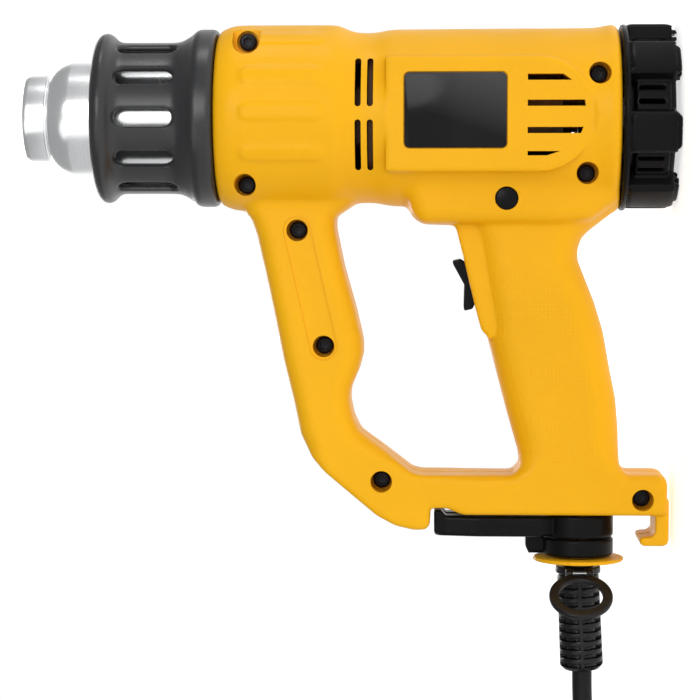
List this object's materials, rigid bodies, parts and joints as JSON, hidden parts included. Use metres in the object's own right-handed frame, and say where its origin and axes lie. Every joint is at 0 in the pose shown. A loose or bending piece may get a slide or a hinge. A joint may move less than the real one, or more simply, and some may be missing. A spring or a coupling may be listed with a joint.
{
  "type": "heat gun",
  "caption": "Hot-air gun with a closed D-handle, a slotted heat shield round a steel nozzle tube, a castellated rear cap to stand on, a rocker switch, swing-out stand arms and a mains lead.",
  "frame": {"origin": "middle of the standing footprint: the gun stands nozzle-up on the feet of its rear cap, and Z=0 is the plane of those feet", "axes": "+Z along the barrel towards the nozzle, +X towards the top of the barrel (the handle reaches to -X), +Y towards the gun's right-hand side, across the thickness"},
  "size_m": [0.5002, 0.0933, 0.2576],
  "materials": {
    "yellow_plastic": "satin moulded plastic, warm yellow",
    "black_plastic": "fine-grained black plastic",
    "shield_plastic": "dark grey heat-resistant plastic",
    "black_rubber": "matt flexible rubber",
    "nozzle_steel": "bright turned stainless steel",
    "plated_steel": "zinc-plated steel",
    "black_screw": "black oxide",
    "mica": "mica and ceramic insulation",
    "gloss_label": "gloss black label",
    "circuit_board": "green solder mask",
    "cord_rubber": "matt black cable sheath",
    "tie_fabric": "woven black hook-and-loop strap",
    "pin_brass": "nickel-plated brass"
  },
  "bodies": {
    "gun": {"housing_left": "yellow_plastic", "housing_right": "yellow_plastic", "housing_screw_1": "black_screw", "housing_screw_2": "black_screw", "housing_screw_3": "black_screw", "housing_screw_4": "black_screw", "housing_screw_5": "black_screw", "housing_screw_6": "black_screw", "housing_screw_7": "black_screw", "housing_screw_8": "black_screw", "label_left": "gloss_label", "label_right": "gloss_label", "trim_plug_left": "black_plastic", "trim_plug_right": "black_plastic", "heat_shield": "shield_plastic", "nozzle_tube": "nozzle_steel", "insulation_tube": "mica", "heater_former": "mica", "heater_coil": "plated_steel", "heater_flange": "mica", "thermocouple": "plated_steel", "motor_can": "plated_steel", "motor_mount": "black_plastic", "air_guide": "black_plastic", "rear_cap": "black_plastic", "potentiometer": "plated_steel", "control_board": "circuit_board", "capacitor": "black_plastic", "switch_body": "black_plastic", "strain_relief": "black_rubber", "cable_clamp": "black_plastic", "clamp_screw_1": "plated_steel", "clamp_screw_2": "plated_steel", "cord": "cord_rubber", "cord_hank": "cord_rubber", "cord_tail": "cord_rubber", "cord_tie": "tie_fabric", "plug_body": "cord_rubber", "plug_pin_1": "pin_brass", "plug_pin_2": "pin_brass"},
    "fan": {"motor_shaft": "plated_steel", "fan_impeller": "black_plastic"},
    "dial": {"temperature_dial": "black_plastic"},
    "rocker": {"rocker_paddle": "black_plastic"},
    "stand_left": {"kickstand_arm_left": "black_plastic"},
    "stand_right": {"kickstand_arm_right": "black_plastic"},
    "collar": {"hang_collar": "black_rubber", "hang_ring_pin": "plated_steel"},
    "ring": {"hang_ring": "black_rubber"}
  },
  "joints": [
    {"name": "fan_spin", "type": "hinge", "parent": "gun", "child": "fan", "pos_m": [0.079, 0, 0.099], "axis": [0, 0, 1], "continuous": true},
    {"name": "dial_turn", "type": "hinge", "parent": "gun", "child": "dial", "pos_m": [0.079, 0, 0.008], "axis": [0, 0, 1], "range_deg": [-135, 135]},
    {"name": "rocker_tilt", "type": "hinge", "parent": "gun", "child": "rocker", "pos_m": [0.01375, 0, 0.08054], "axis": [0, 1, 0], "range_deg": [-10, 10]},
    {"name": "stand_left_swing", "type": "hinge", "parent": "gun", "child": "stand_left", "pos_m": [-0.083, 0, 0.0373], "axis": [1, 0, 0], "range_deg": [0, 120]},
    {"name": "stand_right_swing", "type": "hinge", "parent": "gun", "child": "stand_right", "pos_m": [-0.0915, 0, 0.0373], "axis": [-1, 0, 0], "range_deg": [0, 120]},
    {"name": "collar_swivel", "type": "hinge", "parent": "gun", "child": "collar", "pos_m": [-0.1011, 0, 0.0373], "axis": [1, 0, 0], "continuous": true},
    {"name": "ring_fold", "type": "hinge", "parent": "collar", "child": "ring", "pos_m": [-0.1011, -0.012, 0.0373], "axis": [0, 0, 1], "range_deg": [-50, 30]}
  ]
}
